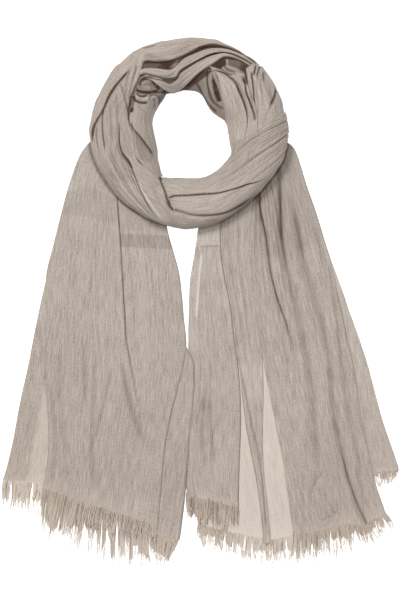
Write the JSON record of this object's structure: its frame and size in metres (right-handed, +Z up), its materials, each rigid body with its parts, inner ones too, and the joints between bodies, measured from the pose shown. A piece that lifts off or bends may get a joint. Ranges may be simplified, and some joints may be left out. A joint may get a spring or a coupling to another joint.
{
  "type": "gauze scarf",
  "caption": "Crinkled gauze scarf laid flat, bunched into a looped neck ring with two fanned tails that end in loose thread fringes.",
  "frame": {"origin": "bottom centre of the part's box: the scarf lies on z = 0", "axes": "+Y along the scarf from the tails' fringes to the neck loop, +X to the right as seen from above, +Z up off the surface it lies on"},
  "size_m": [0.5042, 0.6651, 0.0407],
  "materials": {
    "gauze": "crinkled loose plain weave, matte",
    "fringe": "loose frayed threads, matte"
  },
  "bodies": {
    "root": {"neck_loop_core": "gauze", "right_shoulder_panel": "gauze", "front_right_swath": "gauze", "front_left_swath": "gauze", "outer_top_band": "gauze", "middle_top_band": "gauze", "inner_top_band": "gauze", "inner_back_wall": "gauze", "inner_left_strip": "gauze", "inner_right_strip": "gauze", "right_shoulder_folds": "gauze", "right_inner_folds": "gauze", "left_tail_under": "gauze", "left_tail_panel": "gauze", "right_tail_under": "gauze", "right_tail_left_panel": "gauze", "right_tail_fold_strip": "gauze", "right_tail_main_panel": "gauze", "left_fringe_lower": "fringe", "left_fringe_upper": "fringe", "right_fringe_lower": "fringe", "right_fringe_corner": "fringe", "right_fringe_left": "fringe", "right_fringe_main": "fringe"}
  },
  "joints": []
}
